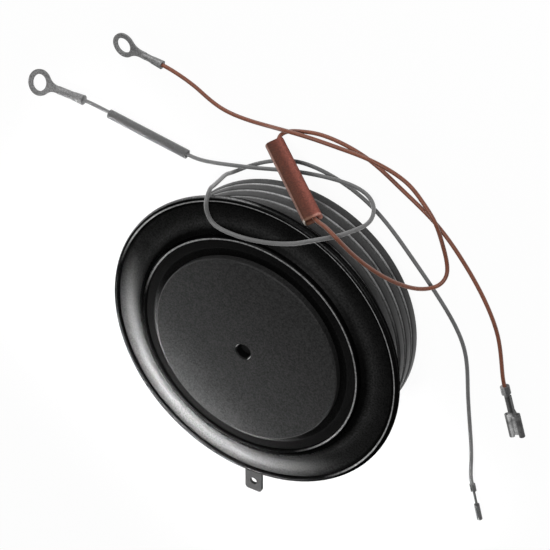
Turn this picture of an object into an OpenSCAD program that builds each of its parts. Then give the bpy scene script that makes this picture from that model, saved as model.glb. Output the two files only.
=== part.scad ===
// Press-pack disc thyristor with its two control leads, in millimetres.
// The capsule stands on its anode face, at z = 0, with its axis along Z.

/* [Capsule] */
// Diameter of both pole faces
pole_d = 47.3; // [40:0.1:60]
// Height of the anode pole
anode_pole_h = 10; // [9:0.1:11]
// Height of the cathode pole
cathode_pole_h = 12.6; // [12:0.1:14]
// Chamfer on the edge of a pole face
pole_chamfer = 0.3; // [0.1:0.05:0.6]
// Diameter of the blind locating hole in each pole face
dowel_d = 3.6; // [2.5:0.1:5]
// Depth of the locating holes
dowel_depth = 2.2; // [1:0.1:3]
// Chamfer at the mouth of a locating hole
dowel_chamfer = 0.25; // [0.1:0.05:0.5]

/* [Cathode flange] */
// Thickness of the flange and weld ring sheet
sheet_t = 0.5; // [0.4:0.05:0.6]
// How far the pole face stands above the flat of the flange
pole_stand = 1.8; // [1.4:0.1:2.2]
// Distance of the pressed ridge's crest from the edge of the pole
ridge_out = 4.3; // [3.5:0.1:5]
// Height of the ridge above the flat
ridge_h = 0.65; // [0.5:0.05:0.8]
// Width of the ridge
ridge_w = 0.9; // [0.7:0.05:1]
// Radius of the bead round the rim
bead_r = 0.75; // [0.65:0.05:0.85]
// Drop from the pole face to the top of the bead
bead_drop = 2.25; // [2:0.05:2.4]
// Height of the trough's lowest line above the seam under the rim
trough_lift = 0.4; // [0.3:0.05:0.7]
// How far the rim stands out past the ribs
rim_overhang = 4.5; // [4:0.1:6]
// Depth of the skirt that is brazed to the pole
skirt_h = 2; // [1:0.1:3]

/* [Ceramic ring] */
// Width of the space between the poles and the bore of the ring
chamber_w = 3.95; // [3.4:0.05:6]
// Wall of the ring at the bottom of the grooves
ceramic_wall = 3.8; // [3:0.1:6]
// Depth of the grooves between the ribs
groove_depth = 1.6; // [1:0.1:2.5]
// Number of ribs
rib_count = 4; // [3:1:4]
// Height of the ribbed band
ribs_h = 12.81; // [11.5:0.01:14]
// Height of one rib
rib_h = 2.55; // [2.4:0.05:2.8]
// Rounding of the rib edges
rib_round = 0.45; // [0.2:0.05:0.6]
// Drop from the cathode face to the top of the ceramic
ceramic_drop = 6; // [5.8:0.1:6.2]

/* [Anode flange] */
// How far the edge of the anode flange stands in from the ribs
anode_flange_in = 1.5; // [0.5:0.1:3]
// Height of the collar that is brazed to the pole
anode_collar_h = 1.5; // [1:0.1:2]
// Radius of the flange's convolution
convolution_r = 0.9; // [0.7:0.05:1]

/* [Semiconductor stack] */
// How far the anode molybdenum disc stands in from the edge of the pole
moly_in = 1.15; // [0.8:0.05:2]
// How far the wafer stands in from the edge of the anode molybdenum disc
wafer_in = 1.5; // [1:0.1:3]
// How far the cathode molybdenum disc stands in from the edge of the wafer
cathode_moly_in = 1; // [0.5:0.1:3]
// Thickness of the silicon wafer
wafer_t = 0.6; // [0.4:0.05:0.9]
// Thickness of the anode molybdenum disc
anode_moly_t = 1.6; // [1:0.1:2]
// Thickness of the cathode molybdenum disc
cathode_moly_t = 1.2; // [0.8:0.1:1.6]
// Height of the rubber seal round the wafer's edge
seal_h = 1.1; // [0.8:0.05:1.6]
// Height of the centring ring
centering_h = 2.4; // [1.8:0.1:2.8]
// Height of the raised boss under the cathode pole
boss_h = 1; // [0.6:0.1:1.4]

/* [Gate] */
// Direction of the gate lead-out round the axis
gate_angle = 109; // [100:1:115]
// Height of the gate lead-out above the wafer
gate_rise = 3.17; // [2.9:0.01:4]
// Diameter of the gate wire inside the capsule
gate_wire_d = 0.5; // [0.4:0.05:0.6]
// Diameter of the gate pin outside the capsule
gate_pin_d = 1; // [0.9:0.05:1.2]
// Length of the gate pin beyond the end of the feed-through tube
gate_pin_len = 5.8; // [4:0.1:9]
// Outside diameter of the feed-through tube
gate_tube_d = 2.4; // [2.1:0.05:2.5]
// How far the feed-through tube stands out of the ribs
gate_tube_stand = 2.2; // [1:0.1:3]
// Diameter of the gate pin's head
pin_head_d = 3.8; // [3.4:0.1:4]
// Height of the gate pin's head
pin_head_h = 1.8; // [1.6:0.1:2.2]
// Diameter of the gate pin's tip
pin_tip_d = 1.6; // [1.2:0.1:2]
// Length of the gate spring
spring_len = 3.4; // [3:0.1:3.8]
// Wire of the gate spring
spring_wire = 0.4; // [0.3:0.05:0.5]
// Turns of the gate spring
spring_turns = 4; // [3:1:5]
// Wall of the gate insulator
insulator_wall = 0.9; // [0.7:0.05:1]
// Wall of the gate wire's sleeve
gate_sleeve_wall = 0.45; // [0.3:0.05:0.5]

/* [Cathode tab] */
// Direction of the tab round the axis
tab_angle = 127.5; // [124:0.5:132]
// Width of the tab
tab_w = 4.6; // [4:0.1:5]
// Thickness of the tab
tab_t = 0.8; // [0.5:0.05:1]
// How far the tab's end stands out past the rim
tab_stand = 7.5; // [5:0.1:10]
// Rounding of the tab's corners
tab_round = 0.9; // [0.4:0.1:1.4]
// Diameter of the tab's hole
tab_hole_d = 1.9; // [1.4:0.1:2.2]
// Distance of the hole's middle from the tab's end
tab_hole_back = 2.9; // [2.4:0.1:4]

/* [Leads] */
// Diameter of the lead wires over their insulation
lead_d = 0.95; // [0.85:0.05:1]
// Hole of the gate lead's ring terminal, for an M4 screw
gate_ring_hole_d = 4.2; // [3.8:0.1:4.4]
// Outside diameter of the gate lead's ring
gate_ring_d = 6.6; // [6:0.1:7]
// Length from the gate lead's mouth to the middle of its ring
gate_ring_reach = 13.4; // [12.5:0.1:14.5]
// Diameter of the insulation crimp on the gate lead's ring terminal
gate_crimp_d = 2.5; // [2.3:0.05:2.7]
// Diameter of the conductor crimp on the gate lead's ring terminal
gate_barrel_d = 2; // [1.8:0.05:2.2]
// Hole of the cathode lead's ring terminal, for an M3.5 screw
cathode_ring_hole_d = 3.8; // [3.5:0.1:4]
// Outside diameter of the cathode lead's ring
cathode_ring_d = 6; // [5.6:0.1:6.4]
// Length from the cathode lead's mouth to the middle of its ring
cathode_ring_reach = 10.9; // [10.4:0.1:12]
// Diameter of the insulation crimp on the cathode lead's ring terminal
cathode_crimp_d = 2.1; // [2:0.05:2.3]
// Diameter of the conductor crimp on the cathode lead's ring terminal
cathode_barrel_d = 1.6; // [1.5:0.05:1.8]
// Sheet thickness of the ring terminals
ring_t = 0.5; // [0.4:0.05:0.7]
// Outside diameter of the gate lead's sleeve
gate_sleeve_d = 2.3; // [2.1:0.05:2.4]
// Wall of the gate lead's sleeve
gate_lead_sleeve_wall = 0.3; // [0.2:0.05:0.35]
// Width of the cathode lead's flattened sleeve
cathode_sleeve_w = 4.4; // [4:0.1:4.6]
// Thickness of the cathode lead's flattened sleeve
cathode_sleeve_t = 2; // [1.9:0.05:2.2]
// Wall of the cathode lead's sleeve
cathode_sleeve_wall = 0.3; // [0.2:0.05:0.3]
// Width of the cathode lead's receptacle
receptacle_w = 3.8; // [3.4:0.1:4.2]
// Length of the receptacle's rolled body
receptacle_len = 6; // [5:0.1:7]
// Wall of the gate lead's pin socket
socket_wall = 0.14; // [0.1:0.01:0.2]
// Length of the pin socket
socket_len = 4.3; // [3.5:0.1:5]

/* [Hidden] */
$fn = 96;

// Clearances: brazed joints, loose fits inside the capsule, crimped wires, wire ends, socket on its pin
braze_gap = 0.05;
fit_gap = 0.15;
crimp_gap = 0.05;
seat_gap = 0.1;
pin_fit = 0.02;

// Overlap of a cut with what it goes through, and points on an arc
cut = 1;
arc_steps = 12;

// Set-backs in the pressed sheets: trough's lowest line, ridge's foot, fold under the bead, and weld ring
trough_inset = 3;
ridge_foot = 0.25;
foot_drop = 0.4;
fold_angle = 8;
lip_w = 1.8;
lip_inset = 0.55;
cone_step = 0.8;
cone_lean = 0.2;

// Radii, from the pole outwards and then inwards
pole_r = pole_d/2;
ceramic_r = pole_r + chamber_w;
groove_r = ceramic_r + ceramic_wall;
rib_r = groove_r + groove_depth;
flange_r = rib_r + rim_overhang;
ridge_r = pole_r + ridge_out;
anode_flange_r = rib_r - anode_flange_in;
anode_moly_r = pole_r - moly_in;
wafer_r = anode_moly_r - wafer_in;
cathode_moly_r = wafer_r - cathode_moly_in;
lead_r = lead_d/2;

// Levels of the stack, from the anode face up
anode_top = anode_pole_h;
wafer_z = anode_top + anode_moly_t;
wafer_top = wafer_z + wafer_t;
cathode_z = wafer_top + cathode_moly_t;
face_z = cathode_z + cathode_pole_h;
flat_z = face_z - pole_stand;
bead_z = face_z - bead_drop - bead_r;
seam_z = bead_z - bead_r - braze_gap;
trough_z = seam_z + trough_lift;
ceramic_top = face_z - ceramic_drop;
bead_x = flange_r - bead_r;
trough_x = bead_x - bead_r - trough_inset;

// Gate: the lead-out runs through the middle of the top rib, so the ribbed band hangs from it
gate_z = wafer_top + gate_rise;
ceramic_z = gate_z + rib_h/2 - ribs_h;
rib_pitch = (ribs_h - rib_h)/(rib_count - 1);
anode_stand = ceramic_z - sheet_t;
pin_bottom = gate_z - pin_head_h/2;
pin_top = gate_z + pin_head_h/2;
spring_top = pin_top + spring_len;
insulator_r = pin_head_d/2 + fit_gap + insulator_wall;
gate_bore_r = insulator_r + fit_gap;
gate_sleeve_r = gate_wire_d/2 + braze_gap + gate_sleeve_wall;
gate_slot_w = 2*gate_sleeve_r + 2*fit_gap;
gate_wire_start = 0.5;
gate_shoulder = rib_r + gate_tube_stand;
tab_reach = flange_r + tab_stand;
pin_edge = 0.2;
sleeve_overhang = 1.2;
tube_overhang = 0.8;

// Weld ring: a flat on the ceramic, a cone, and a lip under the bead
lip_in = bead_x - lip_w;
lip_out = flange_r - lip_inset;
cone_foot = groove_r + cone_step;

// Ring terminal: lengths along its axis, from the wire's mouth, and the rounding of its neck into the ring
crimp_len = 2.6;
crimp_end = 3.3;
wire_depth = 2.4;
neck_w = 1.8;
neck_run = 2.1;
neck_lap = 1.2;
neck_round = 3.5;
ring_lap = 0.2;
crimp_flare = 0.15;
barrel_edge = 0.4;
seam_r = 0.3;

// Receptacle and socket: lengths along their axes, from the wire's mouth
wing_len = 1.9;
wing_d = 2.2;
wing_depth = 1.7;
neck_len = 6.2;
neck_d = 1.3;
roll_r = 0.7;
roll_t = 0.28;
socket_crimp_len = 1.9;
socket_crimp_d = 1.4;
socket_crimp_depth = 1.3;
socket_neck_len = 4.1;
socket_neck_w = 0.6;
socket_base = 0.6;
socket_split = 0.2;
roll_gap = 0.5;
body_lap = 0.4;
base_start = 1;
base_flare = 1.4;
base_half_w = 1;
stamp_at = [2.3, 3.5];
stamp_len = 0.45;
stamp_depth = 0.12;

// Straight run of a wire before it bends away from a mouth
mouth_run = 1.5;

// Places of the lead ends: middle of the wire's mouth, with turn and roll in degrees
gate_ring_at = [70.7, 6, 1.4];
gate_ring_turn = 30.4;
gate_ring_roll = 19;
cathode_ring_at = [60.6, -19.7, 1.15];
cathode_ring_turn = 23.4;
cathode_ring_roll = -6;
gate_socket_at = [-61.5, -0.1, 0.75];
gate_socket_turn = 144;
receptacle_at = [-46, -28.3, 1.1];
receptacle_turn = 146.2;

// Ends of the sleeves, on their axes, and the turn of the flattened one about its axis
gate_sleeve_ends = [[63.5, 2.8, 1.35], [42.8, -6.4, 1.2]];
cathode_sleeve_ends = [[29.1, -31.6, 5.5], [10.6, -36.3, 19.6]];
cathode_sleeve_turn = 36.5;

// Route of the gate lead between its ends: past the capsule, over its rim in a loop and on to the socket
gate_lie = [
    [52, -2.3, 1.2], [43, -6.3, 1.15], [40.2, -7.8, 1.1], [33.5, -14.7, 2.1], [28.6, -19.9, 2.2],
    [22.6, -25.8, 1.2], [16.2, -32.4, 2], [11.1, -35.8, 1.6], [6.8, -38.3, 2.8], [3.8, -39.4, 5.5],
    [2.2, -39.3, 9.5], [2.9, -38.8, 14.4], [5.4, -38.2, 21.5], [6.9, -37.5, 24.2], [8.7, -34.6, 25.1],
    [12.1, -28.8, 24.4], [17.3, -23.4, 24.4], [21.8, -20.5, 24.7], [25.1, -19.6, 24.9], [27.8, -20.9, 25.1],
    [29.5, -23, 25], [30.6, -24, 23.3], [31, -22.8, 20.4], [31.9, -17.8, 9.2], [31.7, -14.7, 3],
    [31, -15.6, 1.2], [29.2, -19.6, 0.5], [24.2, -27.3, 0.5], [19.8, -30.8, 0.5], [11.7, -34.1, 0.5],
    [2.1, -35.3, 0.5], [-10, -33.7, 0.5], [-22.1, -31.2, 0.5], [-33.5, -26.9, 0.5], [-43, -18.2, 0.5],
    [-55.9, -5.6, 0.5]];

// Route of the cathode lead between its ends: round in front, up beside the ribs, through its sleeve and back
cathode_lie = [
    [51.4, -21.9, 0.5], [43.8, -23.2, 0.5], [33.5, -30.1, 1.6], [29, -35, 3.8], [24.3, -37.9, 3.2],
    [18.1, -40.7, 1.6], [11.5, -44.9, 2.1], [2.5, -46.6, 0.5], [-2.6, -46.8, 1.4], [-7.4, -46.1, 2.1],
    [-12.1, -43, 1.2], [-16.2, -39.7, 0.5], [-18.2, -37.8, 1.2], [-18.7, -35.8, 2.4], [-17.8, -34.2, 4],
    [-14.7, -33.6, 7.9], [-6.1, -35.2, 15.2], [1.3, -37.9, 20], [5.2, -39.4, 21.9], [8, -38.4, 20.9],
    [10.5, -36.6, 19.3], [13.5, -35.7, 17.3], [19.8, -34, 12.6], [25.2, -32.6, 8.5], [27.8, -32.1, 6.2],
    [29.1, -32.4, 4.4], [29.4, -32.9, 3], [28.7, -33.9, 1.7], [27.1, -35.3, 0.8], [24.2, -37.9, 0.5],
    [19.1, -41, 0.5], [11.4, -43.6, 0.5], [2.9, -44.4, 0.5], [-7.7, -44.8, 0.5], [-18.9, -43, 0.5],
    [-36, -36.1, 0.5]];

// A point on the axis of a lead's end, inwards from its mouth
function in_mouth(at, turn, depth) = at + depth*[cos(turn), sin(turn), 0];

gate_route = concat(
    [in_mouth(gate_ring_at, gate_ring_turn, wire_depth - seat_gap),
     in_mouth(gate_ring_at, gate_ring_turn, -mouth_run)],
    gate_lie,
    [in_mouth(gate_socket_at, gate_socket_turn, -mouth_run),
     in_mouth(gate_socket_at, gate_socket_turn, socket_crimp_depth - seat_gap)]);
cathode_route = concat(
    [in_mouth(cathode_ring_at, cathode_ring_turn, wire_depth - seat_gap),
     in_mouth(cathode_ring_at, cathode_ring_turn, -mouth_run)],
    cathode_lie,
    [in_mouth(receptacle_at, receptacle_turn, -mouth_run),
     in_mouth(receptacle_at, receptacle_turn, wing_depth - seat_gap)]);

// Points along an arc in a plane section
function arc(center, radius, from, to, steps = arc_steps) =
    [for (i = [0:steps]) center + radius*[cos(from + (to - from)*i/steps), sin(from + (to - from)*i/steps)]];

// A tube swept along a route: one ring of points at each route point, its axes carried along the route
function direction(route, i) =
    let(a = route[max(i - 1, 0)], b = route[min(i + 1, len(route) - 1)]) (b - a)/norm(b - a);
function carried(route, i) =
    let(t = direction(route, i),
        n = i == 0 ? cross(t, [0, 0, 1]) : carried(route, i - 1),
        m = n - (n*t)*t)
    m/norm(m);
function ring_points(center, t, n, radius, sides) =
    let(b = cross(t, n)) [for (k = [0:sides - 1]) center + radius*(cos(360*k/sides)*n + sin(360*k/sides)*b)];

module swept_tube(route, radius, sides = 8) {
    count = len(route);
    points = [for (i = [0:count - 1])
              each ring_points(route[i], direction(route, i), carried(route, i), radius, sides)];
    walls = [for (i = [0:count - 2], k = [0:sides - 1])
             let(a = i*sides + k, b = i*sides + (k + 1)%sides) [a, b, b + sides, a + sides]];
    start_cap = [for (k = [sides - 1:-1:0]) k];
    end_cap = [for (k = [0:sides - 1]) (count - 1)*sides + k];
    polyhedron(points, concat([start_cap], walls, [end_cap]), convexity = 10);
}

module tube(height, outer_r, inner_r) {
    difference() {
        cylinder(h = height, r = outer_r);
        translate([0, 0, -cut]) cylinder(h = height + 2*cut, r = inner_r);
    }
}

module along(ends) {
    run = ends[1] - ends[0];
    translate(ends[0])
        rotate([0, acos(run[2]/norm(run)), atan2(run[1], run[0])])
            children();
}

// Turns a shape that is built up along Z to lie outwards along the gate's direction
module towards_gate(start) {
    rotate([0, 0, gate_angle])
        translate([start, 0, gate_z])
            rotate([0, 90, 0])
                children();
}

module locating_hole() {
    translate([0, 0, -dowel_depth]) cylinder(h = dowel_depth + cut, r = dowel_d/2);
    translate([0, 0, -dowel_chamfer])
        cylinder(h = 2*dowel_chamfer, r1 = dowel_d/2, r2 = dowel_d/2 + 2*dowel_chamfer);
}

module pole_blank(height) {
    rotate_extrude()
        polygon([[0, 0], [pole_r, 0], [pole_r, height - pole_chamfer], [pole_r - pole_chamfer, height],
                 [0, height]]);
}

module cathode_pole() {
    color("#242425")
        difference() {
            union() {
                translate([0, 0, cathode_z + boss_h]) pole_blank(cathode_pole_h - boss_h);
                translate([0, 0, cathode_z]) cylinder(h = boss_h + fit_gap, r = cathode_moly_r);
            }
            translate([0, 0, face_z]) locating_hole();
            translate([0, 0, cathode_z - cut])
                cylinder(h = spring_top + insulator_wall - cathode_z + cut, r = gate_bore_r);
            rotate([0, 0, gate_angle])
                translate([0, -gate_slot_w/2, cathode_z - cut])
                    cube([pole_r + cut, gate_slot_w, gate_z + gate_slot_w/2 - cathode_z + cut]);
        }
}

module anode_pole() {
    color("#242425")
        difference() {
            translate([0, 0, anode_pole_h]) mirror([0, 0, 1]) pole_blank(anode_pole_h);
            mirror([0, 0, 1]) locating_hole();
        }
}

// Section of the pressed flange: skirt and flat at the pole, ridge, trough, bead, and back underneath
function flange_section() =
    let(inner = pole_r + braze_gap,
        half = ridge_w/2,
        crest = [ridge_r, flat_z + ridge_h - half],
        foot = ridge_r + half + ridge_foot,
        run = trough_x - foot,
        rise = flat_z - foot_drop - trough_z,
        trough_r = (run*run + rise*rise)/(2*rise),
        trough_c = [trough_x, trough_z + trough_r],
        from = -90 - asin(run/trough_r),
        to = -90 + asin(trough_inset/trough_r),
        bead_from = 180 - asin((trough_c[1] + trough_r*sin(to) - bead_z)/bead_r))
    concat(
        [[inner, flat_z - skirt_h], [inner, flat_z], [ridge_r - half, flat_z]],
        arc(crest, half, 180, 0),
        arc(trough_c, trough_r, from, to),
        arc([bead_x, bead_z], bead_r, bead_from, -60),
        [[bead_x + bead_r/2, seam_z], [lip_in + sheet_t, seam_z]],
        arc(trough_c, trough_r + sheet_t, to - fold_angle, from),
        [[ridge_r - half, flat_z - sheet_t], [inner + 2*sheet_t, flat_z - sheet_t],
         [inner + sheet_t, flat_z - 2*sheet_t], [inner + sheet_t, flat_z - skirt_h]]);

module cathode_flange() {
    color("#1b1b1c")
        rotate_extrude($fn = 180)
            polygon(flange_section());
}

module cathode_weld_ring() {
    inner = ceramic_r + fit_gap;
    color("#1b1b1c")
        rotate_extrude($fn = 180)
            polygon([[inner, ceramic_top], [cone_foot, ceramic_top], [lip_in + cone_lean, seam_z - sheet_t],
                     [lip_out, seam_z - sheet_t], [lip_out, seam_z], [lip_in, seam_z],
                     [cone_foot - cone_lean, ceramic_top + sheet_t], [inner, ceramic_top + sheet_t]]);
}

// Section of the ceramic: ribs with rounded edges up the outside, a plain neck above them
function rib_section(z) =
    concat([[groove_r, z]],
           arc([rib_r - rib_round, z + rib_round], rib_round, -90, 0, 5),
           arc([rib_r - rib_round, z + rib_h - rib_round], rib_round, 0, 90, 5),
           [[groove_r, z + rib_h]]);

module ceramic_ring() {
    ribs = [for (i = [0:rib_count - 1]) each rib_section(ceramic_z + i*rib_pitch)];
    color("#2a2a2b")
        difference() {
            rotate_extrude($fn = 180)
                polygon(concat([[ceramic_r, ceramic_z]], ribs,
                               [[groove_r, ceramic_top], [ceramic_r, ceramic_top]]));
            towards_gate(ceramic_r - cut)
                cylinder(h = rib_r - ceramic_r + 2*cut, r = gate_tube_d/2 + braze_gap);
        }
}

// Section of the anode flange: collar at the pole, one convolution, and a flat under the ceramic
module anode_flange() {
    inner = pole_r + braze_gap;
    dip = (inner + sheet_t + ceramic_r)/2;
    top = anode_stand + sheet_t;
    color("#1b1b1c")
        rotate_extrude($fn = 180)
            polygon(concat(
                [[inner, top + anode_collar_h], [inner, anode_stand]],
                arc([dip, anode_stand], convolution_r, 180, 360),
                [[anode_flange_r, anode_stand], [anode_flange_r, top]],
                arc([dip, top], convolution_r - sheet_t/2, 360, 180),
                [[inner + sheet_t, top], [inner + sheet_t, top + anode_collar_h]]));
}

module anode_moly_disc() {
    color("#3a3b3d")
        translate([0, 0, anode_top]) cylinder(h = anode_moly_t, r = anode_moly_r);
}

module silicon_wafer() {
    color("#26282c")
        translate([0, 0, wafer_z]) cylinder(h = wafer_t, r = wafer_r);
}

module wafer_edge_seal() {
    color("#3c2a26")
        translate([0, 0, wafer_z]) tube(seal_h, anode_moly_r, wafer_r + braze_gap);
}

module cathode_moly_disc() {
    color("#3a3b3d")
        translate([0, 0, wafer_top]) tube(cathode_moly_t, cathode_moly_r, gate_bore_r);
}

module centering_ring() {
    color("#4a4a48")
        translate([0, 0, anode_top]) tube(centering_h, ceramic_r - fit_gap, anode_moly_r + fit_gap);
}

module gate_contact_pin() {
    tip_r = pin_tip_d/2;
    head_r = pin_head_d/2;
    color("#5a4a2c")
        difference() {
            rotate_extrude()
                polygon([[0, wafer_top], [tip_r - pin_edge, wafer_top], [tip_r, wafer_top + pin_edge],
                         [tip_r, pin_bottom], [head_r, pin_bottom], [head_r, pin_top],
                         [tip_r, pin_top], [tip_r, spring_top - fit_gap], [0, spring_top - fit_gap]]);
            towards_gate(0) cylinder(h = pin_head_d, r = gate_wire_d/2 + braze_gap);
        }
}

// Coil between the pin's head and the insulator's closed end
module gate_spring() {
    coil_r = pin_head_d/2 - spring_wire/2 - fit_gap;
    steps = 14*spring_turns;
    rise = spring_len - spring_wire;
    color("#4d4d50")
        swept_tube([for (i = [0:steps])
                    let(a = 360*spring_turns*i/steps)
                    [coil_r*cos(a), coil_r*sin(a), pin_top + spring_wire/2 + rise*i/steps]],
                   spring_wire/2, 6);
}

module gate_insulator() {
    color("#6a675f")
        difference() {
            translate([0, 0, wafer_top])
                cylinder(h = spring_top + insulator_wall - wafer_top, r = insulator_r);
            translate([0, 0, wafer_top - cut])
                cylinder(h = spring_top - wafer_top + cut, r = insulator_r - insulator_wall);
            towards_gate(0) cylinder(h = 2*insulator_r, r = gate_sleeve_r + braze_gap);
        }
}

// Thin wire inside the capsule, and a thicker pin whose shoulder sits on the end of the tube
module gate_wire() {
    pin_r = gate_pin_d/2;
    color("#5f5f60") {
        towards_gate(gate_wire_start)
            cylinder(h = gate_shoulder + pin_edge - gate_wire_start, r = gate_wire_d/2);
        towards_gate(gate_shoulder)
            rotate_extrude($fn = 48)
                polygon([[0, 0], [pin_r, 0], [pin_r, gate_pin_len - pin_edge],
                         [pin_r - pin_edge, gate_pin_len], [0, gate_pin_len]]);
    }
}

module gate_wire_sleeve() {
    start = insulator_r - insulator_wall + fit_gap;
    color("#7a776e")
        towards_gate(start)
            tube(pole_r + sleeve_overhang - start, gate_sleeve_r, gate_wire_d/2 + braze_gap);
}

module gate_tube() {
    start = ceramic_r - tube_overhang;
    color("#3f3f41")
        towards_gate(start)
            tube(gate_shoulder - start, gate_tube_d/2, gate_wire_d/2 + braze_gap);
}

// Flat tab under the lip of the weld ring, with rounded outer corners
module cathode_tab() {
    root = lip_in + 2*cone_lean;
    corner = tab_w/2 - tab_round;
    color("#39393a")
        rotate([0, 0, tab_angle])
            translate([0, 0, seam_z - sheet_t - tab_t])
                linear_extrude(tab_t)
                    difference() {
                        union() {
                            translate([root, -tab_w/2]) square([tab_reach - tab_round - root, tab_w]);
                            translate([root, -corner]) square([tab_reach - root, 2*corner]);
                            for (side = [-1, 1])
                                translate([tab_reach - tab_round, side*corner])
                                    circle(r = tab_round, $fn = 48);
                        }
                        translate([tab_reach - tab_hole_back, 0]) circle(r = tab_hole_d/2, $fn = 48);
                    }
}

// Ring terminal along X: flared insulation crimp, folded conductor crimp, neck and ring
module ring_terminal(hole_d, outer_d, reach, grip_d, core_d) {
    bore_r = lead_r + crimp_gap;
    floor_z = -ring_t/2;
    core_end = reach - outer_d/2 - neck_run;
    difference() {
        union() {
            rotate([0, 90, 0])
                rotate_extrude($fn = 48)
                    polygon([[0, 0], [grip_d/2, 0], [grip_d/2 - crimp_flare, crimp_len],
                             [core_d/2, crimp_end], [core_d/2, core_end - barrel_edge],
                             [core_d/2 - barrel_edge, core_end], [0, core_end]]);
            translate([0, 0, floor_z]) linear_extrude(ring_t) ring_outline(outer_d, reach, core_end);
        }
        translate([-cut, 0, 0]) rotate([0, 90, 0]) cylinder(h = wire_depth + cut, r = bore_r, $fn = 48);
        translate([reach, 0, floor_z - cut]) cylinder(h = ring_t + 2*cut, r = hole_d/2, $fn = 64);
        translate([crimp_end, 0, core_d/2]) rotate([0, 90, 0])
            cylinder(h = core_end, r = seam_r, $fn = 24);
    }
}

// Ring with a neck that widens into it in two hollow curves
module ring_outline(outer_d, reach, core_end) {
    round_y = neck_w/2 + neck_round;
    round_x = reach - sqrt(pow(outer_d/2 + neck_round, 2) - round_y*round_y);
    touch = (neck_round + ring_lap)/(neck_round + outer_d/2);
    touch_x = round_x + touch*(reach - round_x);
    touch_y = round_y*(1 - touch);
    translate([reach, 0]) circle(r = outer_d/2, $fn = 64);
    translate([core_end - neck_lap, -neck_w/2]) square([reach - core_end + neck_lap - outer_d/2, neck_w]);
    difference() {
        polygon([[round_x, -round_y], [touch_x, -touch_y], [touch_x, touch_y], [round_x, round_y]]);
        for (side = [-1, 1])
            translate([round_x, side*round_y]) circle(r = neck_round, $fn = 128);
    }
}

module gate_lead_ring() {
    color("#56575a")
        translate(gate_ring_at) rotate([0, 0, gate_ring_turn]) rotate([gate_ring_roll, 0, 0])
            ring_terminal(gate_ring_hole_d, gate_ring_d, gate_ring_reach, gate_crimp_d, gate_barrel_d);
}

module cathode_lead_ring() {
    color("#56575a")
        translate(cathode_ring_at) rotate([0, 0, cathode_ring_turn]) rotate([cathode_ring_roll, 0, 0])
            ring_terminal(cathode_ring_hole_d, cathode_ring_d, cathode_ring_reach, cathode_crimp_d,
                          cathode_barrel_d);
}

module gate_lead_wire() {
    color("#6b6c6e") swept_tube(gate_route, lead_r);
}

module cathode_lead_wire() {
    color("#7a4636") swept_tube(cathode_route, lead_r);
}

module gate_lead_sleeve() {
    color("#59595b")
        along(gate_sleeve_ends)
            tube(norm(gate_sleeve_ends[1] - gate_sleeve_ends[0]),
                 gate_sleeve_d/2, gate_sleeve_d/2 - gate_lead_sleeve_wall);
}

module cathode_lead_sleeve() {
    color("#8a4a3a")
        along(cathode_sleeve_ends)
            rotate([0, 0, cathode_sleeve_turn])
                linear_extrude(norm(cathode_sleeve_ends[1] - cathode_sleeve_ends[0]))
                    difference() {
                        flat_round(cathode_sleeve_w, cathode_sleeve_t);
                        flat_round(cathode_sleeve_w - 2*cathode_sleeve_wall,
                                   cathode_sleeve_t - 2*cathode_sleeve_wall);
                    }
}

// Flattened tube's outline: two straight sides and two half-round ends
module flat_round(width, thickness) {
    straight = width - thickness;
    translate([-straight/2, -thickness/2]) square([straight, thickness]);
    for (side = [-1, 1])
        translate([side*straight/2, 0]) circle(r = thickness/2, $fn = 48);
}

// Insulation crimp along X, open along its top where its two wings meet
module crimp_wings(length, outer_d, depth) {
    difference() {
        rotate([0, 90, 0]) cylinder(h = length, r = outer_d/2, $fn = 48);
        translate([-cut, 0, 0]) rotate([0, 90, 0])
            cylinder(h = depth + cut, r = lead_r + crimp_gap, $fn = 48);
        translate([-cut, 0, outer_d/2]) rotate([0, 90, 0]) cylinder(h = length + 2*cut, r = seam_r, $fn = 24);
    }
}

// Pin socket along X: insulation crimp, folded neck and a split barrel
module gate_lead_socket() {
    body_x = socket_crimp_len + socket_neck_len;
    bore_r = gate_pin_d/2 + pin_fit;
    outer_r = bore_r + socket_wall;
    color("#46474a")
        translate(gate_socket_at) rotate([0, 0, gate_socket_turn]) {
            crimp_wings(socket_crimp_len, socket_crimp_d, socket_crimp_depth);
            translate([socket_crimp_len, 0, 0]) rotate([0, 90, 0])
                cylinder(h = socket_neck_len, r = socket_neck_w/2, $fn = 32);
            translate([body_x, 0, 0]) difference() {
                rotate([0, 90, 0]) cylinder(h = socket_len, r = outer_r, $fn = 48);
                translate([socket_base, 0, 0]) rotate([0, 90, 0])
                    cylinder(h = socket_len, r = bore_r, $fn = 48);
                translate([socket_base, -socket_split/2, 0]) cube([socket_len, socket_split, 2*outer_r]);
            }
        }
}

// Section of the receptacle's body: a flat base whose two edges are rolled in over it
module rolled_section() {
    roll_y = receptacle_w/2 - roll_r;
    translate([-roll_y, 0]) square([2*roll_y, roll_t]);
    for (side = [-1, 1])
        translate([side*roll_y, roll_r])
            difference() {
                circle(r = roll_r, $fn = 48);
                circle(r = roll_r - roll_t, $fn = 48);
                translate([side > 0 ? -2*roll_r : 0, -roll_r + roll_t]) square([2*roll_r, roll_gap]);
            }
}

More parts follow.
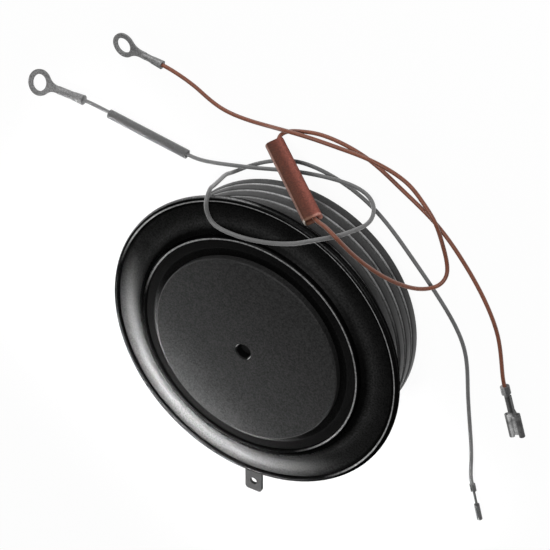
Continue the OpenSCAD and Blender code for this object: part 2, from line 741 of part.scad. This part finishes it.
// Quick-connect receptacle along X: insulation crimp, conductor crimp, neck and rolled body
module cathode_lead_receptacle() {
    body_x = wing_len + neck_len;
    base_z = -receptacle_at[2];
    base_w = neck_d - socket_split;
    base_end = neck_len - base_start;
    flare_x = base_end - base_flare;
    stamp_w = receptacle_w - 4*roll_r;
    color("#4a4b4e")
        translate(receptacle_at) rotate([0, 0, receptacle_turn]) {
            crimp_wings(wing_len, wing_d, wing_depth);
            translate([wing_len, 0, 0]) rotate([0, 90, 0])
                cylinder(h = neck_len - base_flare, r = neck_d/2, $fn = 40);
            translate([wing_len + base_start, 0, base_z])
                linear_extrude(neck_d/2 - base_z - body_lap)
                    polygon([[0, -base_w/2], [flare_x, -base_w/2], [base_end, -base_half_w],
                             [base_end, base_half_w], [flare_x, base_w/2], [0, base_w/2]]);
            translate([body_x - body_lap, 0, base_z]) difference() {
                rotate([90, 0, 90]) linear_extrude(receptacle_len) rolled_section();
                for (x = stamp_at)
                    translate([x, -stamp_w/2, roll_t - stamp_depth]) cube([stamp_len, stamp_w, roll_t]);
            }
        }
}

cathode_pole();
cathode_flange();
cathode_weld_ring();
ceramic_ring();
anode_flange();
anode_pole();
anode_moly_disc();
silicon_wafer();
wafer_edge_seal();
cathode_moly_disc();
centering_ring();
gate_contact_pin();
gate_spring();
gate_insulator();
gate_wire();
gate_wire_sleeve();
gate_tube();
cathode_tab();
gate_lead_ring();
gate_lead_wire();
gate_lead_sleeve();
gate_lead_socket();
cathode_lead_ring();
cathode_lead_wire();
cathode_lead_sleeve();
cathode_lead_receptacle();
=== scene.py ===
import math
from functools import cached_property

import bpy
import numpy as np
from mathutils import Matrix, Vector


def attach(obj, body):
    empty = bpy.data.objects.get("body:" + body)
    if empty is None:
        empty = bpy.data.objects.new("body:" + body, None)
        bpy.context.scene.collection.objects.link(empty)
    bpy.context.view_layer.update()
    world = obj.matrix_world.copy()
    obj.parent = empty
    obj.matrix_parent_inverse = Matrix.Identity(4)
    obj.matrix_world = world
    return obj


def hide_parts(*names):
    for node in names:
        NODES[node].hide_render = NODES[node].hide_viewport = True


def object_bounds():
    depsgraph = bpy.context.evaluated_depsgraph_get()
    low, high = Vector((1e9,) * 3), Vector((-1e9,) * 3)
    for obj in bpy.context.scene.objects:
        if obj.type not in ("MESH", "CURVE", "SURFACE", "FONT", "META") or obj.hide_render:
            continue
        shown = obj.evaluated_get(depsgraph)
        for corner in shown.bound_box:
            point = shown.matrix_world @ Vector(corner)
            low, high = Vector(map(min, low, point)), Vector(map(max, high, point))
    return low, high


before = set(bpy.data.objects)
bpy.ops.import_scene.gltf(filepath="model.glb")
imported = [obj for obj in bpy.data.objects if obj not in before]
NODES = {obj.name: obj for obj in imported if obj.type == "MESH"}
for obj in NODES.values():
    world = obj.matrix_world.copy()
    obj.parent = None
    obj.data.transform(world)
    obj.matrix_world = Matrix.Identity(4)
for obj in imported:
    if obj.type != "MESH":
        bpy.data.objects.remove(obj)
cad_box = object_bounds()

MM = 0.001

# Camera: seen from above on the -Y side, turned about its own axis
IMAGE_PX = 550
SENSOR_MM = 36.0
FOCAL_PX = 1259.35
ELEVATION = math.radians(47.045)
ROLL = math.radians(133.231)
DISTANCE = 294.3 * MM
AIM = Vector((0, 0, 13)) * MM
SHIFT_RIGHT = 7.71 * MM
SHIFT_UP = -8.3 * MM
CLIP_START = 10 * MM

# Stage: the floor lies just under the part, and glows only where it is seen
FLOOR_HALF = 4000 * MM
FLOOR_DROP = 0.02 * MM
FLOOR_GREY = 0.85
FLOOR_GLOW = 0.95
WORLD_GREY = 0.1

# Edges of the CAD pieces
WELD_GAP = 0.001 * MM
SHARP_ANGLE = math.radians(32)

# Leads: the wire, and how finely it is drawn through its points
WIRE_D = 0.95 * MM
WIRE_BEVEL = 5
KNOT_POWER = 0.75
STEPS = 10

# Ends of the leads: straight run before a mouth and gap behind the wire in millimetres, turns in degrees
MOUTH_RUN = 1.5
SEAT_GAP = 0.1
GATE_TIP_TURN = 144
CATHODE_TIP_TURN = 146.2

# Noise cells to a metre: grain and soft patches, and the flange's fine rings
SMALL_GRAIN, SMALL_PATCH = 3000, 300
FITTED_GRAIN = 2500
GLAZE_GRAIN, GLAZE_PATCH = 2500, 250
POLE_GRAIN, POLE_PATCH = 2600, 220
FLANGE_GRAIN, FLANGE_PATCH = 2600, 250
FLANGE_RINGS = 6000

# Noise: where it is spread from low to high, its reach in roughness, and its bump's depth in millimetres
NOISE_LOW, NOISE_HIGH = 0.3, 0.7
ROUGH_SPREAD = 0.05
GRAIN_DEPTH = 0.03
FLANGE_GRAIN_DEPTH = 0.02

# Flange by radius in millimetres: tone, roughness, share of bare metal, and painted highlight lines on the
# ridge and the bead
FLANGE_SPAN = (24, 38)
FLANGE_TONE = [
    (24.5, 0.028), (25.3, 0.028), (25.6, 0.007), (27.4, 0.007), (27.6, 0.01), (29.5, 0.012),
    (30.4, 0.042), (31.2, 0.066), (32.2, 0.054), (33.0, 0.045), (35.4, 0.045), (35.8, 0.016),
]
FLANGE_ROUGH = [
    (25.3, 0.38), (25.6, 0.7), (27.2, 0.7), (27.5, 0.45), (28.4, 0.45), (28.9, 0.5),
    (35.4, 0.48), (36.2, 0.4),
]
FLANGE_METAL = [(25.3, 1.0), (25.6, 0.0), (27.4, 0.0), (27.6, 1.0)]
FLANGE_HIGHLIGHT_LINES = [
    (27.64, 0.0), (27.81, 0.5), (27.99, 0.5), (28.16, 0.0),
    (36.25, 0.0), (36.38, 0.55), (36.56, 0.55), (36.7, 0.0),
]
FLANGE_TINT = (0.15, 0.15, 0.15, 1)

# Flange, in millimetres: the painted highlight lines fade out along Y, and the rim's outer lip has a painted
# highlight towards +X
HIGHLIGHT_LINE_FADE = (1, 12)
LIP_SPAN = (37.1, 37.3)
LIP_FADE = (20, 30)
LIP_HIGHLIGHT = 0.3

# Ceramic, in millimetres: tone from the grooves out to the ribs, with painted highlights in the grooves and
# on the rib edges, and painted side light making the glaze paler towards +X
RIB_R = 33.0
RIB_DEPTH = 1.6
CERAMIC_TONE_AND_HIGHLIGHTS = [(0.0, 0.18), (0.6, 0.18), (0.75, 0.3), (0.84, 0.3), (0.92, 0.021)]
SIDE_LIGHT_FADE = (-25, 20)
PAINTED_SIDE_LIGHT = [(0.0, 0.7), (1.0, 2.2)]

# Pole, in millimetres: painted highlight on the edge on the +Y side, painted shade in the centre hole, and
# two painted glints on the hole's lip along X
POLE_DARK, POLE_LIGHT = 0.009, 0.028
POLE_ROUGH = 0.55
POLE_EDGE = (23.1, 23.35)
POLE_HIGHLIGHT_FADE = (-2, 8)
POLE_EDGE_HIGHLIGHT = 0.6
HOLE_SPAN = (2.0, 2.2)
HOLE_PAINTED_SHADE = [(0.0, 0.08), (1.0, 1.0)]
HOLE_LIP_IN = (1.82, 1.9)
HOLE_LIP_OUT = (2.0, 2.12)
GLINT_X = (1.86, 1.95)
GLINT_GAIN = 18.0

# Red sleeve: its directions as it leans, its tone along it with a pale cut end, and its red tone across it
# with painted shade and a painted highlight along one edge
SLEEVE_ALONG = (-0.7796, -0.1981, 0.5942)
SLEEVE_ACROSS = (-0.3165, -0.6942, -0.6466)
SLEEVE_BODY = (0.62, 0.5, 0.48)
SLEEVE_END = (1.2, 1.5, 1.6)
SLEEVE_LENGTHWISE = [(0.0, SLEEVE_BODY), (0.97, SLEEVE_BODY), (0.98, SLEEVE_END)]
SLEEVE_SHADING_ACROSS = [
    (0.0, (0.5, 0.38, 0.33)), (0.06, (0.45, 0.32, 0.27)), (0.12, (0.11, 0.046, 0.026)),
    (0.5, (0.16, 0.055, 0.035)), (0.8, (0.38, 0.14, 0.105)), (0.95, (0.33, 0.12, 0.09)),
    (1.0, (0.24, 0.09, 0.07)),
]

# Receptacle: its directions on the floor, and its tone along and across it, which paints light and shade
# over its colour
TIP_TURN = math.radians(CATHODE_TIP_TURN)
TIP_ALONG = (math.cos(TIP_TURN), math.sin(TIP_TURN), 0)
TIP_ACROSS = (-math.sin(TIP_TURN), math.cos(TIP_TURN), 0)
TIP_SHADING_ALONG = [
    (0.0, 0.6), (0.14, 0.6), (0.2, 0.2), (0.5, 0.2), (0.57, 1.0), (0.64, 1.0), (0.69, 0.5), (0.84, 0.9),
    (1.0, 0.7),
]
TIP_SHADING_ACROSS = [(0.0, 0.16), (0.18, 0.2), (0.25, 0.65), (0.5, 0.5), (0.62, 0.14), (1.0, 0.1)]


def in_mouth(at, turn, depth):
    """A point on the axis of a lead's end, inwards from its mouth, in millimetres."""
    a = math.radians(turn)
    return [at[0] + depth * math.cos(a), at[1] + depth * math.sin(a), at[2]]


def lead_route(start, lie, end):
    """The lead's points: out of the mouth of its first end, along its lie, and into that of its last end."""
    first = [in_mouth(*start[:2], start[2] - SEAT_GAP), in_mouth(*start[:2], -MOUTH_RUN)]
    last = [in_mouth(*end[:2], -MOUTH_RUN), in_mouth(*end[:2], end[2] - SEAT_GAP)]
    return np.array(first + lie + last) * MM


# Routes of the leads: each end is its mouth's place, its turn in degrees and its depth
GATE_ROUTE = lead_route(
    ([70.7, 6, 1.4], 30.4, 2.4),
    [
        [52, -2.3, 1.2], [43, -6.3, 1.15], [40.2, -7.8, 1.1], [33.5, -14.7, 2.1], [28.6, -19.9, 2.2],
        [22.6, -25.8, 1.2], [16.2, -32.4, 2], [11.1, -35.8, 1.6], [6.8, -38.3, 2.8], [3.8, -39.4, 5.5],
        [2.2, -39.3, 9.5], [2.9, -38.8, 14.4], [5.4, -38.2, 21.5], [6.9, -37.5, 24.2], [8.7, -34.6, 25.1],
        [12.1, -28.8, 24.4], [17.3, -23.4, 24.4], [21.8, -20.5, 24.7], [25.1, -19.6, 24.9],
        [27.8, -20.9, 25.1], [29.5, -23, 25], [30.6, -24, 23.3], [31, -22.8, 20.4], [31.9, -17.8, 9.2],
        [31.7, -14.7, 3], [31, -15.6, 1.2], [29.2, -19.6, 0.5], [24.2, -27.3, 0.5], [19.8, -30.8, 0.5],
        [11.7, -34.1, 0.5], [2.1, -35.3, 0.5], [-10, -33.7, 0.5], [-22.1, -31.2, 0.5], [-33.5, -26.9, 0.5],
        [-43, -18.2, 0.5], [-55.9, -5.6, 0.5],
    ],
    ([-61.5, -0.1, 0.75], GATE_TIP_TURN, 1.3),
)
CATHODE_ROUTE = lead_route(
    ([60.6, -19.7, 1.15], 23.4, 2.4),
    [
        [51.4, -21.9, 0.5], [43.8, -23.2, 0.5], [33.5, -30.1, 1.6], [29, -35, 3.8], [24.3, -37.9, 3.2],
        [18.1, -40.7, 1.6], [11.5, -44.9, 2.1], [2.5, -46.6, 0.5], [-2.6, -46.8, 1.4], [-7.4, -46.1, 2.1],
        [-12.1, -43, 1.2], [-16.2, -39.7, 0.5], [-18.2, -37.8, 1.2], [-18.7, -35.8, 2.4], [-17.8, -34.2, 4],
        [-14.7, -33.6, 7.9], [-6.1, -35.2, 15.2], [1.3, -37.9, 20], [5.2, -39.4, 21.9], [8, -38.4, 20.9],
        [10.5, -36.6, 19.3], [13.5, -35.7, 17.3], [19.8, -34, 12.6], [25.2, -32.6, 8.5], [27.8, -32.1, 6.2],
        [29.1, -32.4, 4.4], [29.4, -32.9, 3], [28.7, -33.9, 1.7], [27.1, -35.3, 0.8], [24.2, -37.9, 0.5],
        [19.1, -41, 0.5], [11.4, -43.6, 0.5], [2.9, -44.4, 0.5], [-7.7, -44.8, 0.5], [-18.9, -43, 0.5],
        [-36, -36.1, 0.5],
    ],
    ([-46, -28.3, 1.1], CATHODE_TIP_TURN, 1.7),
)


def smooth_path(points):
    """A natural cubic spline through the points, sampled, kept above the floor and no lower in Y than the
    CAD box.
    """
    gaps = np.linalg.norm(np.diff(points, axis=0), axis=1) ** KNOT_POWER
    n = len(points)
    lhs = np.eye(n)
    rhs = np.zeros((n, 3))
    slopes = np.diff(points, axis=0) / gaps[:, None]
    for i in range(1, n - 1):
        lhs[i, i - 1 : i + 2] = gaps[i - 1], 2 * (gaps[i - 1] + gaps[i]), gaps[i]
        rhs[i] = 6 * (slopes[i] - slopes[i - 1])
    bend = np.linalg.solve(lhs, rhs)
    path = []
    for i, gap in enumerate(gaps):
        for u in np.arange(STEPS) / STEPS:
            a, b = 1 - u, u
            path.append(
                a * points[i] + b * points[i + 1]
                + ((a**3 - a) * bend[i] + (b**3 - b) * bend[i + 1]) * gap**2 / 6
            )
    path = np.array(path + [points[-1]])
    path[:, 1] = np.maximum(path[:, 1], cad_box[0][1] + WIRE_D / 2)
    path[:, 2] = np.maximum(path[:, 2], WIRE_D / 2)
    return path


def make_lead(name, route, material):
    """A lead's wire as one round curve along its route, in place of the CAD wire."""
    path = smooth_path(route)
    curve = bpy.data.curves.new(name, "CURVE")
    curve.dimensions = "3D"
    curve.bevel_depth = WIRE_D / 2
    curve.bevel_resolution = WIRE_BEVEL
    curve.use_fill_caps = True
    spline = curve.splines.new("POLY")
    spline.points.add(len(path) - 1)
    spline.points.foreach_set("co", np.column_stack([path, np.ones(len(path))]).ravel())
    spline.use_smooth = True
    curve.materials.append(material)
    obj = bpy.data.objects.new(name, curve)
    bpy.context.collection.objects.link(obj)
    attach(obj, "root")
    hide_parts(name.replace("_cord", "_wire"))


class Shader:
    """A material's nodes, with a short way to add each kind."""

    def __init__(self, name):
        self.material = bpy.data.materials.new(name)
        self.material.use_nodes = True
        self.nodes = self.material.node_tree.nodes
        self.links = self.material.node_tree.links
        self.bsdf = self.nodes["Principled BSDF"]

    @cached_property
    def coords(self):
        """Object coordinates, in metres."""
        return self.nodes.new("ShaderNodeTexCoord").outputs["Object"]

    def put(self, value, socket):
        """Link a socket to another node's output, or set it to a constant."""
        if isinstance(value, bpy.types.NodeSocket):
            self.links.new(value, socket)
        else:
            socket.default_value = value

    def calc(self, operation, *values):
        node = self.nodes.new("ShaderNodeMath")
        node.operation = operation
        for value, socket in zip(values, node.inputs):
            self.put(value, socket)
        return node.outputs[0]

    def times(self, a, b):
        return self.calc("MULTIPLY", a, b)

    def noise(self, scale, detail=2, along=None):
        """Noise over the piece, or along one length where that is given."""
        node = self.nodes.new("ShaderNodeTexNoise")
        if along is None:
            self.put(self.coords, node.inputs["Vector"])
        else:
            node.noise_dimensions = "1D"
            self.put(along, node.inputs["W"])
        self.put(scale, node.inputs["Scale"])
        self.put(detail, node.inputs["Detail"])
        return node.outputs["Fac"]

    def ramp(self, value, stops):
        """Tones over a value from 0 to 1, where a stop is a grey or a colour."""
        node = self.nodes.new("ShaderNodeValToRGB")
        elements = node.color_ramp.elements
        while len(elements) < len(stops):
            elements.new(0.5)
        for element, (place, tone) in zip(elements, stops):
            element.position = place
            element.color = (*tone, 1) if isinstance(tone, tuple) else (tone, tone, tone, 1)
        self.put(value, node.inputs["Fac"])
        return node.outputs["Color"]

    def spread(self, noise, low, high, start=NOISE_LOW, end=NOISE_HIGH):
        """Noise spread from a low tone to a high one."""
        return self.ramp(noise, [(start, low), (end, high)])

    def blend(self, first, *others):
        """Tones or colours multiplied together."""
        for other in others:
            node = self.nodes.new("ShaderNodeMix")
            node.data_type = "RGBA"
            node.blend_type = "MULTIPLY"
            self.put(1, node.inputs["Factor"])
            self.put(first, node.inputs["A"])
            self.put(other, node.inputs["B"])
            first = node.outputs["Result"]
        return first

    def bump(self, height, strength, depth=GRAIN_DEPTH, under=None):
        """A bump with its depth in millimetres, over another bump where that is given."""
        node = self.nodes.new("ShaderNodeBump")
        self.put(strength, node.inputs["Strength"])
        self.put(depth * MM, node.inputs["Distance"])
        self.put(height, node.inputs["Height"])
        if under is not None:
            self.put(under, node.inputs["Normal"])
        return node.outputs["Normal"]

    def round_place(self):
        """The radius from the Z axis, and the places along X and Y, in metres."""
        node = self.nodes.new("ShaderNodeSeparateXYZ")
        self.put(self.coords, node.inputs[0])
        x, y, _ = node.outputs
        return self.calc("SQRT", self.calc("ADD", self.times(x, x), self.times(y, y))), x, y

    def place_along(self, axis):
        """The place along a direction, in metres."""
        node = self.nodes.new("ShaderNodeVectorMath")
        node.operation = "DOT_PRODUCT"
        self.put(self.coords, node.inputs[0])
        self.put(axis, node.inputs[1])
        return node.outputs["Value"]

    def between(self, length, low, high):
        """Where a length in metres lies between two lengths in millimetres, as 0 to 1."""
        node = self.nodes.new("ShaderNodeMapRange")
        self.put(low * MM, node.inputs["From Min"])
        self.put(high * MM, node.inputs["From Max"])
        self.put(length, node.inputs["Value"])
        return node.outputs["Result"]

    def inverse(self, value):
        return self.calc("SUBTRACT", 1.0, value)

    def surface(self, color, rough, normal, metallic=0.0, specular=0.5, sheen=0.0):
        """Feed the principled shader, and give back the material."""
        inputs = self.bsdf.inputs
        self.put(color, inputs["Base Color"])
        self.put(rough, inputs["Roughness"])
        self.put(normal, inputs["Normal"])
        self.put(metallic, inputs["Metallic"])
        inputs["Specular IOR Level"].default_value = specular
        inputs["Sheen Weight"].default_value = sheen
        return self.material


def grainy(name, dark, light, rough=0.5, metallic=0.0, specular=0.5, bumps=0.15, sheen=0.0):
    """Fine grain over larger soft patches, in the colour, the roughness and the bump."""
    shader = Shader(name)
    fine = shader.noise(SMALL_GRAIN, 3)
    soft = shader.noise(SMALL_PATCH)
    color = shader.blend(shader.spread(fine, dark, light), shader.spread(soft, 0.86, 1.0))
    roughness = shader.spread(soft, rough - ROUGH_SPREAD, rough + ROUGH_SPREAD)
    return shader.surface(color, roughness, shader.bump(fine, bumps), metallic, specular, sheen)


def painted_shading(name, node, along, across, lengthwise, crosswise, rough, sheen):
    """A finish with painted light and shade along and across a piece that lies askew, with grain."""
    shader = Shader(name)
    points = np.empty(len(NODES[node].data.vertices) * 3)
    NODES[node].data.vertices.foreach_get("co", points)
    tones = []
    for axis, stops in ((along, lengthwise), (across, crosswise)):
        reach = points.reshape(-1, 3) @ np.array(axis) / MM
        place = shader.between(shader.place_along(axis), reach.min(), reach.max())
        tones.append(shader.ramp(place, stops))
    fine = shader.noise(FITTED_GRAIN, 3)
    color = shader.blend(*tones, shader.spread(fine, 0.6, 1.15))
    roughness = shader.spread(fine, rough - ROUGH_SPREAD, rough + ROUGH_SPREAD)
    return shader.surface(color, roughness, shader.bump(fine, 0.25), specular=0.2, sheen=sheen)


def zones(stops):
    """Stops at radii in millimetres, as places on the flange's span."""
    low, high = FLANGE_SPAN
    return [((radius - low) / (high - low), value) for radius, value in stops]


def flange_material():
    """Pressed sheet: dark inside the ridge, brighter in the trough, with fine rings, painted highlight lines
    on the ridge and the bead towards -Y, and a painted highlight on the outer lip towards +X.
    """
    shader = Shader("flange_metal")
    radius, x, y = shader.round_place()
    out = shader.between(radius, *FLANGE_SPAN)
    # Painted highlight lines on the ridge and the bead, faded out towards +Y
    highlight_lines = shader.times(shader.ramp(out, zones(FLANGE_HIGHLIGHT_LINES)), shader.inverse(shader.between(y, *HIGHLIGHT_LINE_FADE)))
    # Painted highlight on the rim's outer lip towards +X
    lip = shader.times(shader.between(radius, *LIP_SPAN), shader.between(x, *LIP_FADE))
    light = shader.calc("MULTIPLY_ADD", lip, LIP_HIGHLIGHT, highlight_lines)
    tone = shader.calc("ADD", shader.ramp(out, zones(FLANGE_TONE)), light)
    metallic = shader.calc("SUBTRACT", shader.ramp(out, zones(FLANGE_METAL)), highlight_lines)
    soft = shader.noise(FLANGE_PATCH, 3)
    speck = shader.noise(FLANGE_GRAIN)
    rings = shader.noise(FLANGE_RINGS, along=radius)
    color = shader.blend(
        tone,
        shader.spread(soft, 0.85, 1.0),
        shader.spread(speck, 0.45, 1.1, end=0.65),
        shader.spread(rings, 0.8, 1.0, end=0.6),
    )
    roughness = shader.blend(shader.ramp(out, zones(FLANGE_ROUGH)), shader.spread(soft, 0.92, 1.0))
    normal = shader.bump(rings, 0.06, FLANGE_GRAIN_DEPTH, shader.bump(speck, 0.08, FLANGE_GRAIN_DEPTH))
    shader.put(FLANGE_TINT, shader.bsdf.inputs["Specular Tint"])
    return shader.surface(color, roughness, normal, metallic, specular=0.05)


def ceramic_material():
    """Dark glaze, with painted highlights on the rib edges and in the grooves, and painted side light making
    it paler towards +X.
    """
    shader = Shader("ceramic")
    radius, x, _ = shader.round_place()
    fine = shader.noise(GLAZE_GRAIN, 3)
    soft = shader.noise(GLAZE_PATCH)
    color = shader.blend(
        # Painted highlights in the grooves and on the rib edges, over the dark glaze
        shader.ramp(shader.between(radius, RIB_R - RIB_DEPTH, RIB_R), CERAMIC_TONE_AND_HIGHLIGHTS),
        # Painted side light: the glaze paler towards +X
        shader.ramp(shader.between(x, *SIDE_LIGHT_FADE), PAINTED_SIDE_LIGHT),
        shader.spread(fine, 0.6, 1.0),
        shader.spread(soft, 0.8, 1.0),
    )
    return shader.surface(
        color, shader.spread(soft, 0.42, 0.52), shader.bump(fine, 0.15), specular=0.2, sheen=0.1
    )


def pole_material():
    """Ground pole face: even grain, a painted highlight on its edge towards +Y, and painted shade in the
    centre hole with two painted glints.
    """
    shader = Shader("pole_metal")
    radius, x, y = shader.round_place()
    fine = shader.noise(POLE_GRAIN)
    soft = shader.noise(POLE_PATCH)
    # Painted highlight on the pole's edge towards +Y
    edge = shader.times(shader.between(radius, *POLE_EDGE), shader.between(y, *POLE_HIGHLIGHT_FADE))
    edge = shader.times(edge, shader.spread(soft, 0.4, 1.0, start=0.35, end=0.6))
    bright = shader.calc("MULTIPLY_ADD", edge, POLE_EDGE_HIGHLIGHT, 1.0)
    # Painted shade in the centre hole
    hole = shader.ramp(shader.between(radius, *HOLE_SPAN), HOLE_PAINTED_SHADE)
    lip_out = shader.inverse(shader.between(radius, *HOLE_LIP_OUT))
    lip = shader.times(shader.between(radius, *HOLE_LIP_IN), lip_out)
    glint = shader.times(lip, shader.between(shader.calc("ABSOLUTE", x), *GLINT_X))
    shade = shader.calc("MULTIPLY_ADD", glint, GLINT_GAIN, shader.blend(bright, hole))
    color = shader.blend(shader.spread(fine, POLE_DARK, POLE_LIGHT), shade)
    roughness = shader.spread(soft, POLE_ROUGH - 0.04, POLE_ROUGH + 0.04)
    return shader.surface(color, roughness, shader.bump(fine, 0.1), specular=0.12)


POLE = pole_material()
FLANGE = flange_material()
CERAMIC = ceramic_material()
TAB = grainy("tab_metal", 0.018, 0.034, rough=0.85, specular=0.03)
TERMINAL = grainy("terminal_metal", 0.1, 0.3, metallic=0.3, bumps=0.4)
SOCKET = grainy("socket_metal", 0.04, 0.14, metallic=0.3, bumps=0.4)
INNER = grainy("inner_metal", 0.1, 0.14, rough=0.4, metallic=0.8)
GREY_WIRE = grainy("grey_wire", 0.1, 0.14, specular=0.4, sheen=0.5)
GREY_SLEEVE = grainy("grey_sleeve", 0.04, 0.075, specular=0.4, sheen=0.5)
RED_WIRE = grainy("red_wire", (0.15, 0.046, 0.022), (0.22, 0.068, 0.034), specular=0.4, sheen=0.3)
# Painted shade across the red sleeve, with a painted highlight along one edge
RED_SLEEVE = painted_shading(
    "red_sleeve", "cathode_lead_sleeve", SLEEVE_ALONG, SLEEVE_ACROSS, SLEEVE_LENGTHWISE, SLEEVE_SHADING_ACROSS,
    rough=0.7, sheen=0.0,
)
# Painted light and shade along and across the receptacle
RECEPTACLE = painted_shading(
    "receptacle_metal", "cathode_lead_receptacle", TIP_ALONG, TIP_ACROSS, TIP_SHADING_ALONG, TIP_SHADING_ACROSS,
    rough=0.5, sheen=0.2,
)

# Each node's finish; the nodes inside, the gate's lead-out and the replaced wires take the inner metal
FINISH = {
    "cathode_pole": POLE, "anode_pole": POLE, "cathode_flange": FLANGE, "cathode_weld_ring": FLANGE,
    "anode_flange": FLANGE, "ceramic_ring": CERAMIC, "cathode_tab": TAB, "gate_lead_ring": TERMINAL,
    "cathode_lead_ring": TERMINAL, "gate_lead_socket": SOCKET, "cathode_lead_receptacle": RECEPTACLE,
    "gate_lead_sleeve": GREY_SLEEVE, "cathode_lead_sleeve": RED_SLEEVE,
}


def dress(obj, material):
    """Give a CAD piece its finish, smooth faces and sharp edges."""
    obj.data.materials.clear()
    obj.data.materials.append(material)
    weld = obj.modifiers.new("weld", "WELD")
    weld.merge_threshold = WELD_GAP
    obj.data.shade_smooth()
    split = obj.modifiers.new("sharp edges", "EDGE_SPLIT")
    split.split_angle = SHARP_ANGLE


def add_camera():
    back = Vector((0, -math.cos(ELEVATION), math.sin(ELEVATION)))
    right = Vector((1, 0, 0))
    up = back.cross(right)
    image_right = math.cos(ROLL) * right - math.sin(ROLL) * up
    image_up = math.sin(ROLL) * right + math.cos(ROLL) * up
    data = bpy.data.cameras.new("camera")
    data.sensor_width = SENSOR_MM
    data.lens = FOCAL_PX / IMAGE_PX * SENSOR_MM
    data.clip_start = CLIP_START
    obj = bpy.data.objects.new("camera", data)
    bpy.context.collection.objects.link(obj)
    turn = Matrix((image_right, image_up, back)).transposed().to_4x4()
    place = AIM + DISTANCE * back + SHIFT_RIGHT * right + SHIFT_UP * up
    obj.matrix_world = Matrix.Translation(place) @ turn
    bpy.context.scene.camera = obj


def add_area(name, place, target, size, power, spread=180):
    """An area light that faces its target: lengths in millimetres, power in watts, spread in degrees."""
    place, target = Vector(place) * MM, Vector(target) * MM
    data = bpy.data.lights.new(name, "AREA")
    data.shape = "RECTANGLE"
    data.size, data.size_y = (side * MM for side in size)
    data.energy = power
    data.spread = math.radians(spread)
    obj = bpy.data.objects.new(name, data)
    bpy.context.collection.objects.link(obj)
    obj.location = place
    obj.rotation_euler = (place - target).to_track_quat("Z", "Y").to_euler()


def add_floor():
    """A pale floor that looks white where it is seen or reflected, and lights the part as a plain one."""
    shader = Shader("floor")
    nodes = shader.nodes
    nodes.remove(shader.bsdf)
    diffuse = nodes.new("ShaderNodeBsdfDiffuse")
    diffuse.inputs["Color"].default_value = (FLOOR_GREY, FLOOR_GREY, FLOOR_GREY, 1)
    glow = nodes.new("ShaderNodeEmission")
    ray = nodes.new("ShaderNodeLightPath").outputs
    seen = shader.calc("MAXIMUM", ray["Is Camera Ray"], ray["Is Glossy Ray"])
    seen = shader.calc("MAXIMUM", seen, ray["Is Transmission Ray"])
    mix = nodes.new("ShaderNodeMixShader")
    shader.put(shader.times(seen, FLOOR_GLOW), mix.inputs["Fac"])
    shader.put(diffuse.outputs[0], mix.inputs[1])
    shader.put(glow.outputs[0], mix.inputs[2])
    shader.put(mix.outputs[0], nodes["Material Output"].inputs["Surface"])
    mesh = bpy.data.meshes.new("floor")
    half = FLOOR_HALF
    corners = [(-half, -half, 0), (half, -half, 0), (half, half, 0), (-half, half, 0)]
    mesh.from_pydata(corners, [], [(0, 1, 2, 3)])
    mesh.materials.append(shader.material)
    obj = bpy.data.objects.new("floor", mesh)
    obj.location.z = -FLOOR_DROP
    bpy.context.collection.objects.link(obj)


def add_world():
    world = bpy.data.worlds.new("world")
    world.use_nodes = True
    background = world.node_tree.nodes["Background"]
    background.inputs["Color"].default_value = (WORLD_GREY, WORLD_GREY, WORLD_GREY, 1)
    bpy.context.scene.world = world


for name, node in NODES.items():
    dress(node, FINISH.get(name, INNER))

make_lead(
    "gate_lead_cord", GATE_ROUTE, GREY_WIRE,
)
make_lead(
    "cathode_lead_cord", CATHODE_ROUTE, RED_WIRE,
)

add_camera()
add_floor()
add_world()
add_area("key", (0, 199.5, 172), (0, 65.5, 23), size=(140, 60), power=0.106, spread=8)
add_area("wash", (0, -37.6, 314.8), (0, 40, 25), size=(110, 68), power=0.05, spread=16)
add_area("fill", (20, -320, 550), (0, 0, 20), size=(140, 140), power=2.4)
add_area("side", (400, -280, 120), (20, -30, 13), size=(120, 100), power=1.0)
for name, side in (("rim left", 1), ("rim right", -1)):
    add_area(name, (side * 350, 350, 120), (0, 0, 25), size=(100, 50), power=0.7)

bpy.context.scene.view_settings.view_transform = "Standard"
